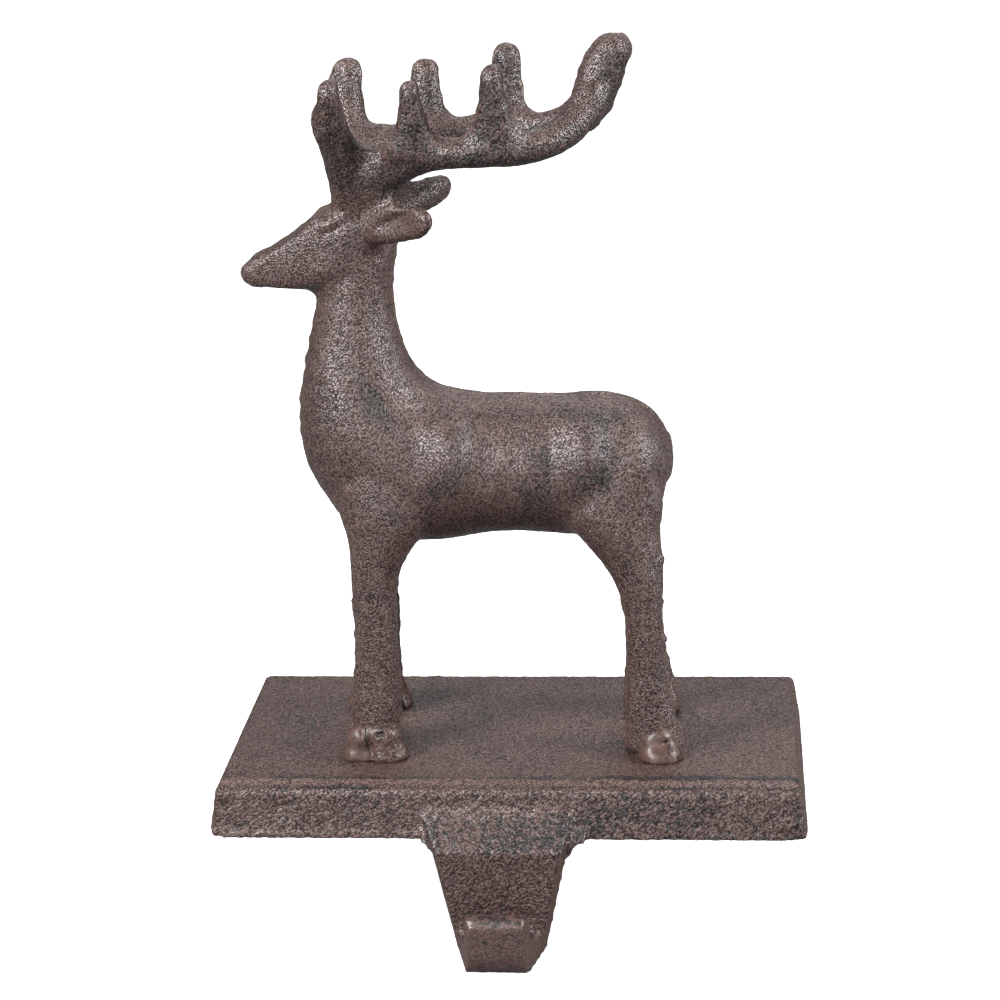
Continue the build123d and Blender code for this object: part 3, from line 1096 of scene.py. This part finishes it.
@dataclass
class Studio:
    """Pale floor, soft light and the camera at the photograph's viewing angle, with its turns in radians."""

    eye: Triple = (47.876, -555.220, 242.047)
    yaw: float = -0.0847
    pitch: float = 0.2891
    roll: float = -0.0280
    focal_share: float = 2.79769
    sensor: float = 36.0
    near_clip: float = 10.0
    floor_size: float = 12000.0
    floor_gap: float = 0.3
    floor_pale: float = 0.8
    floor_dull: float = 0.15
    floor_glow: float = 1.0
    sky: float = 0.2
    target: Triple = (0.0, 35.0, 80.0)
    boxes: tuple[SoftBox, ...] = (
        SoftBox("left_box", (-620.0, -455.0, 610.0), 420.0, 16.0),
        SoftBox("right_box", (900.0, -120.0, 500.0), 420.0, 14.0),
        SoftBox("back_box", (60.0, 650.0, 720.0), 700.0, 1.8),
        SoftBox("front_box", (100.0, -950.0, 120.0), 900.0, 3.0),
    )

    def set_up(self, lowest: float) -> None:
        """Make the floor, the lights, the world and the camera.

        Args:
            lowest: Height of the object's lowest point, in metres.
        """
        self._lay_floor(lowest - self.floor_gap * MM)
        for box in self.boxes:
            self._hang(box)
        self._fill_sky()
        self._place_camera()

    def _lay_floor(self, height: float) -> None:
        """Lay a wide pale floor below the object.

        Args:
            height: Height of the floor, in metres.
        """
        half = self.floor_size * MM / 2
        corners = [(x, y, height) for x, y in ((-half, -half), (half, -half), (half, half), (-half, half))]
        mesh = bpy.data.meshes.new("floor")
        mesh.from_pydata(corners, [], [(0, 1, 2, 3)])
        mesh.materials.append(self._floor_paint())
        floor = bpy.data.objects.new("floor", mesh)
        bpy.context.scene.collection.objects.link(floor)
        floor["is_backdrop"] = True

    def _floor_paint(self) -> bpy.types.Material:
        """Floor that is pale and glows where it is seen, and throws little light on the object.

        Returns:
            The material.
        """
        hand, paint = NodeHand.for_material("pale_floor")
        seen = hand.add("ShaderNodeLightPath").outputs["Is Camera Ray"]
        dull = hand.add("ShaderNodeBsdfDiffuse", {"Color": (*[self.floor_dull] * 3, 1.0)}).outputs[0]
        pale = hand.add("ShaderNodeBsdfDiffuse", {"Color": (*[self.floor_pale] * 3, 1.0)}).outputs[0]
        glow = hand.add("ShaderNodeEmission", {"Strength": self.floor_glow}).outputs[0]
        bright = hand.add("ShaderNodeAddShader", {0: pale, 1: glow}).outputs[0]
        shown = hand.add("ShaderNodeMixShader", {0: seen, 1: dull, 2: bright}).outputs[0]
        hand.add("ShaderNodeOutputMaterial", {"Surface": shown})
        return paint

    def _hang(self, box: SoftBox) -> None:
        """Hang one soft light so that it faces the object.

        Args:
            box: The light.
        """
        data = bpy.data.lights.new(box.name, "AREA")
        data.shape = "DISK"
        data.size = box.size * MM
        data.energy = box.power
        lamp = bpy.data.objects.new(box.name, data)
        lamp.location = Vector(box.place) * MM
        aim = Vector(self.target) - Vector(box.place)
        lamp.rotation_euler = aim.to_track_quat("-Z", "Y").to_euler()
        bpy.context.scene.collection.objects.link(lamp)

    def _fill_sky(self) -> None:
        """Surround the object with even white light."""
        world = bpy.data.worlds.new("studio")
        world.use_nodes = True
        back = world.node_tree.nodes["Background"]
        back.inputs["Color"].default_value = (1.0, 1.0, 1.0, 1.0)
        back.inputs["Strength"].default_value = self.sky
        bpy.context.scene.world = world

    def _place_camera(self) -> None:
        """Place the camera where the photograph was taken from."""
        ahead = Vector((sin(self.yaw) * cos(self.pitch), cos(self.yaw) * cos(self.pitch), -sin(self.pitch)))
        level = Vector((cos(self.yaw), -sin(self.yaw), 0.0))
        upright = level.cross(ahead)
        right = level * cos(self.roll) + upright * sin(self.roll)
        up = upright * cos(self.roll) - level * sin(self.roll)
        data = bpy.data.cameras.new("photo_camera")
        data.sensor_width = self.sensor
        data.lens = self.focal_share * self.sensor
        data.clip_start = self.near_clip * MM
        camera = bpy.data.objects.new("photo_camera", data)
        turn = Matrix((right, up, -ahead)).transposed()
        camera.matrix_world = Matrix.Translation(Vector(self.eye) * MM) @ turn.to_4x4()
        bpy.context.scene.collection.objects.link(camera)
        bpy.context.scene.camera = camera


BROWN = (0.088, 0.048, 0.0405)
BLACK = (0.010, 0.010, 0.012)
UMBER = (0.008, 0.005, 0.005)
RUBBED = (0.150, 0.092, 0.079)
WELD_BROWN = (0.082, 0.045, 0.036)
WELD_RUBBED = (0.12, 0.075, 0.063)

FIGURE_FINISH = CastFinish(
    slot=Iron.FIGURE, brown=BROWN, black=BLACK, umber=UMBER, rubbed=RUBBED,
    grain_scale=3600.0, pebble_scale=2500.0, pit_scale=330.0, patch_scale=110.0, speck_scale=2000.0,
    dark_level=-0.05, rough=0.36, polished=0.33, bump=0.6, film=1.0, film_bump=0.34, shine=0.3,
)
PLINTH_FINISH = CastFinish(
    slot=Iron.PLINTH, brown=BROWN, black=BLACK, umber=UMBER, rubbed=RUBBED,
    grain_scale=3000.0, pebble_scale=2100.0, pit_scale=300.0, patch_scale=80.0, speck_scale=1000.0,
    dark_level=-0.02, rough=0.42, polished=0.36, bump=0.65, film=0.8, film_bump=0.35, shine=0.3,
)
WELD_FINISH = CastFinish(
    slot=Iron.WELD, brown=WELD_BROWN, black=BLACK, umber=UMBER, rubbed=WELD_RUBBED,
    grain_scale=1800.0, pebble_scale=1400.0, pit_scale=900.0, patch_scale=260.0, speck_scale=1300.0,
    dark_level=0.0, rough=0.46, polished=0.34, bump=0.6, film=0.35, film_bump=0.5, shine=0.2,
)

STAG = StagFigure(
    node="stag_figure", name="cast_stag", finish=FIGURE_FINISH, voxel=0.59, crease=1.6, smoothing=8,
    swells=[
        # Shoulder, neck and chest
        Swell((-11.5, 22.5, 80.0), (4.5, 8.0, 9.0), 1.7, lean=5.0, both_sides=True),
        Swell((-19.5, 23.0, 79.0), (3.2, 8.0, 9.0), -0.8, lean=10.0, both_sides=True),
        Swell((-6.3, 22.0, 81.0), (2.6, 8.0, 9.0), -0.3, lean=5.0, both_sides=True),
        Swell((-29.0, 26.0, 92.0), (3.4, 8.0, 11.0), -1.1, lean=34.0, both_sides=True),
        Swell((-37.0, 30.0, 65.0), (3.0, 8.0, 4.0), 1.1, both_sides=True),
        # Haunch, rump and back
        Swell((17.5, 23.0, 80.0), (4.2, 8.0, 9.0), 1.7, both_sides=True),
        Swell((9.8, 22.5, 78.0), (2.4, 8.0, 9.0), -0.8, both_sides=True),
        Swell((23.0, 23.0, 79.0), (3.0, 8.0, 8.0), -0.6, both_sides=True),
        Swell((30.5, 25.0, 79.5), (4.0, 8.0, 7.0), 1.5, both_sides=True),
        Swell((33.5, 27.0, 67.0), (3.0, 9.0, 4.0), 1.1, both_sides=True),
        Swell((36.5, FIGURE_MID, 68.5), (3.5, 9.0, 2.5), -1.2),
        Swell((2.4, FIGURE_MID, 89.3), (6.0, 9.0, 4.0), 0.8),
        Swell((16.4, FIGURE_MID, 90.1), (6.0, 9.0, 4.0), -0.8),
        # Brow and muzzle
        Swell((-40.4, 31.5, 130.0), (2.0, 2.5, 1.6), 0.7, both_sides=True),
        Swell((-50.3, 30.6, 121.6), (6.0, 3.0, 0.7), 0.7, lean=35.0, both_sides=True),
        Swell((-51.1, 31.2, 122.9), (6.0, 3.0, 0.7), -0.6, lean=35.0, both_sides=True),
        Swell((-36.4, 29.5, 129.4), (3.0, 3.0, 0.8), 0.6, lean=27.0, both_sides=True),
        Swell((-35.8, 29.5, 127.9), (3.2, 3.0, 0.8), -0.4, lean=27.0, both_sides=True),
        # Ears
        Swell((-22.0, 23.0, 131.3), (5.5, 6.0, 0.9), -1.0, lean=32.0, both_sides=True),
        Swell((-20.6, 23.0, 128.7), (4.6, 6.0, 1.1), 0.5, lean=28.0, both_sides=True),
        Swell((-23.2, 23.0, 133.2), (5.0, 6.0, 0.8), 0.5, lean=27.0, both_sides=True),
        Swell((-14.1, 24.0, 130.7), (1.0, 6.0, 1.0), -0.8),
        # Antlers
        Swell((-38.0, 24.5, 158.5), (2.5, 6.0, 3.5), -1.6),
        Swell((-38.0, 24.5, 150.5), (2.0, 6.0, 4.0), 0.7),
        Swell((3.4, 20.8, 161.0), (2.0, 6.0, 6.0), -1.5),
        Swell((-14.3, 20.8, 158.5), (1.6, 6.0, 5.0), -0.9),
        Swell((-31.2, 20.8, 158.0), (1.6, 6.0, 5.0), -0.9),
        Swell((-27.0, 50.5, 145.5), (4.5, 6.0, 2.5), 1.8),
        Swell((-20.4, 54.2, 156.5), (2.0, 6.0, 5.0), 1.3),
        Swell((-38.4, 54.2, 156.0), (2.0, 6.0, 5.0), 1.0),
        Swell((29.0, FIGURE_MID, 163.0), (2.6, 8.0, 4.0), -0.9),
        Swell((20.5, 40.0, 147.0), (3.0, 9.0, 3.0), -1.0),
        # Legs
        Swell((-22.5, 29.5, 52.0), (0.8, 1.6, 4.0), 0.9, lean=15.0),
        Swell((33.8, 25.5, 54.9), (1.0, 1.6, 1.0), 0.8),
        Swell((33.8, 25.5, 36.5), (1.0, 1.6, 1.0), 0.8),
        Swell((-30.5, 21.2, 32.0), (1.1, 3.0, 15.0), -0.35, both_sides=True),
        Swell((28.0, 21.2, 34.0), (1.1, 3.0, 14.0), -0.35, both_sides=True),
    ],
    stains_and_shade=[
        # Muzzle, neck and chest
        Swell((-46.0, 31.0, 126.5), (10.0, 4.0, 0.9), 0.6, lean=33.0, both_sides=True),
        # Painted shade in the crease between the neck and the shoulder
        Swell((-28.3, 25.0, 91.0), (2.2, 8.0, 11.0), 0.8, lean=34.0, both_sides=True),
        Swell((-39.0, 28.0, 90.0), (4.0, 8.0, 16.0), 0.3, both_sides=True),
        # Shoulder and fore leg
        Swell((-11.5, 22.5, 80.0), (4.0, 8.0, 9.0), 0.3, lean=5.0, both_sides=True),
        # Painted shade and patina in the groove behind the shoulder
        Swell((-8.5, 22.5, 83.0), (1.8, 8.0, 7.0), 0.7, both_sides=True),
        Swell((-15.2, 22.0, 72.5), (5.0, 8.0, 2.2), 0.8, both_sides=True),
        Swell((-24.0, 23.0, 65.9), (2.0, 8.0, 1.5), 0.9, lean=-35.0),
        Swell((-37.0, 22.0, 30.0), (2.0, 6.0, 20.0), 0.7, both_sides=True),
        # Flank, haunch and rump
        Swell((-2.0, 25.0, 86.6), (9.0, 8.0, 1.0), 0.8, both_sides=True),
        Swell((5.8, 22.0, 70.8), (4.0, 8.0, 5.0), 0.7, both_sides=True),
        # Painted shade and patina in the hollow in front of the haunch
        Swell((9.0, 22.0, 77.0), (1.3, 8.0, 6.0), 0.7, both_sides=True),
        Swell((11.0, 24.0, 87.0), (4.0, 8.0, 1.5), 0.7, both_sides=True),
        Swell((17.0, 23.0, 80.0), (4.5, 8.0, 9.0), 0.3, both_sides=True),
        Swell((20.5, 22.0, 73.0), (5.0, 8.0, 2.8), 0.9, both_sides=True),
        # Painted shade and patina in the groove between the haunch and the rump
        Swell((21.5, 22.0, 79.0), (1.9, 8.0, 6.0), 0.8, both_sides=True),
        Swell((22.7, 26.0, 87.1), (5.0, 8.0, 2.0), 0.9, both_sides=True),
        Swell((30.0, 25.0, 79.5), (3.5, 8.0, 6.0), 0.2, both_sides=True),
    ],
)
PLINTH = HookPlinth(
    node="hook_plinth", name="cast_plinth", finish=PLINTH_FINISH, voxel=0.7, crease=0.0, smoothing=1,
    finer=True,
    swells=[
        # Lumps and a dent on the sides
        Swell((64.3, 35.0, 8.0), (1.2, 2.0, 2.5), 0.8),
        Swell((59.5, 0.3, 3.1), (1.5, 1.5, 1.2), 0.6),
        Swell((-61.7, 1.5, 9.3), (1.5, 1.5, 1.5), 0.5),
        Swell((-50.0, 0.8, 6.5), (4.0, 3.0, 2.6), -0.4),
        # Small lumps on the top
        Swell((-25.3, 44.5, PLINTH_TOP), (0.9, 0.9, 2.0), 0.6),
        Swell((-22.7, 42.0, PLINTH_TOP), (0.7, 0.7, 2.0), 0.5),
        Swell((23.5, 46.2, PLINTH_TOP), (0.8, 0.8, 2.0), 0.5),
        Swell((-1.6, 21.3, PLINTH_TOP), (1.6, 0.7, 2.0), 0.4),
        Swell((-21.4, 73.6, 10.4), (0.9, 0.9, 1.5), 0.5),
    ],
    stains_and_shade=[
        # Top
        Swell((-47.5, 37.3, PLINTH_TOP), (9.0, 7.0, 3.0), 0.6),
        Swell((-22.0, 57.0, PLINTH_TOP), (12.0, 9.0, 3.0), 0.7),
        Swell((-11.0, 44.0, PLINTH_TOP), (7.0, 6.0, 3.0), 0.4),
        Swell((23.7, 29.0, PLINTH_TOP), (7.0, 6.0, 3.0), 0.6),
        Swell((41.0, 45.0, PLINTH_TOP), (9.0, 12.0, 3.0), 0.5),
        Swell((57.5, 56.0, PLINTH_TOP), (5.0, 12.0, 3.0), 0.4),
        Swell((-57.9, 68.1, PLINTH_TOP), (2.0, 1.0, 3.0), 0.8),
        # Front, arm and gussets
        Swell((28.0, 0.5, 5.0), (26.0, 3.0, 6.0), 0.35),
        Swell((63.0, 1.0, 4.0), (1.6, 3.0, 5.0), 0.7),
        # Painted shadow in the hook's throat, between the arm and the tongue
        Swell((-1.5, -8.0, -12.5), (8.0, 3.0, 1.6), 0.8),
        Swell((-16.5, -2.0, 1.0), (1.2, 4.0, 4.0), 0.6),
        Swell((13.0, -3.0, 1.0), (1.5, 4.0, 4.0), 0.6),
    ],
)
WELDS = FootWelds(
    node="foot_welds", name="foot_weld_beads", finish=WELD_FINISH, voxel=0.3, crease=2.0, smoothing=14,
    swells=[
        # Gas pores
        Swell((-29.4, 17.0, 17.0), (0.5, 3.0, 0.5), -0.9),
        Swell((-28.3, 17.0, 17.2), (0.45, 3.0, 0.4), -0.9),
        Swell((34.6, 16.0, 15.3), (0.6, 3.0, 0.5), -1.0),
        # Rear bead
        Swell((33.0, 15.5, 15.2), (3.2, 4.0, 1.8), -1.3),
        Swell((33.3, 16.5, 17.9), (3.4, 4.0, 0.5), 0.4),
        # Front bead
        Swell((-31.7, 15.5, 16.0), (0.7, 5.0, 4.5), -1.2, lean=13.0),
        Swell((-27.5, 16.5, 18.8), (3.0, 5.0, 0.45), -0.5, lean=-14.0),
        Swell((-33.4, 14.5, 14.6), (1.6, 3.0, 2.4), 0.5, lean=13.0),
    ],
    stains_and_shade=[
        # Painted shade in the gas pores
        Swell((-29.4, 17.0, 17.0), (0.6, 3.0, 0.6), 1.5),
        Swell((-28.3, 17.0, 17.2), (0.6, 3.0, 0.5), 1.5),
        Swell((34.6, 16.0, 15.3), (0.7, 3.0, 0.6), 1.5),
        # Rear bead: painted shadow below its rim
        Swell((33.0, 16.5, 17.2), (3.4, 4.0, 0.8), 0.9),
        # Front bead: painted shade in the groove between the lobes and along its top, and darker where it
        # meets the leg
        Swell((-31.7, 15.5, 16.0), (0.6, 5.0, 4.5), 1.0, lean=13.0),
        Swell((-27.5, 16.5, 18.8), (3.0, 5.0, 0.5), 0.8, lean=-14.0),
        Swell((-30.0, 20.0, 19.6), (6.0, 6.0, 1.2), 0.5),
    ],
)


def main() -> None:
    """Build the three pieces and the studio."""
    logging.basicConfig(level=logging.INFO, format="%(message)s")
    bpy.context.scene.view_settings.view_transform = "Standard"
    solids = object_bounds()
    effects = Effects(SandGrain().group(), RubbedPatinaAndShade().group())
    for casting in (STAG, PLINTH, WELDS):
        piece = casting.make(effects)
        LOG.info("%s: %d faces", piece.name, len(piece.data.polygons))
    Studio().set_up(solids[0].z)


if __name__ == "__main__":
    main()
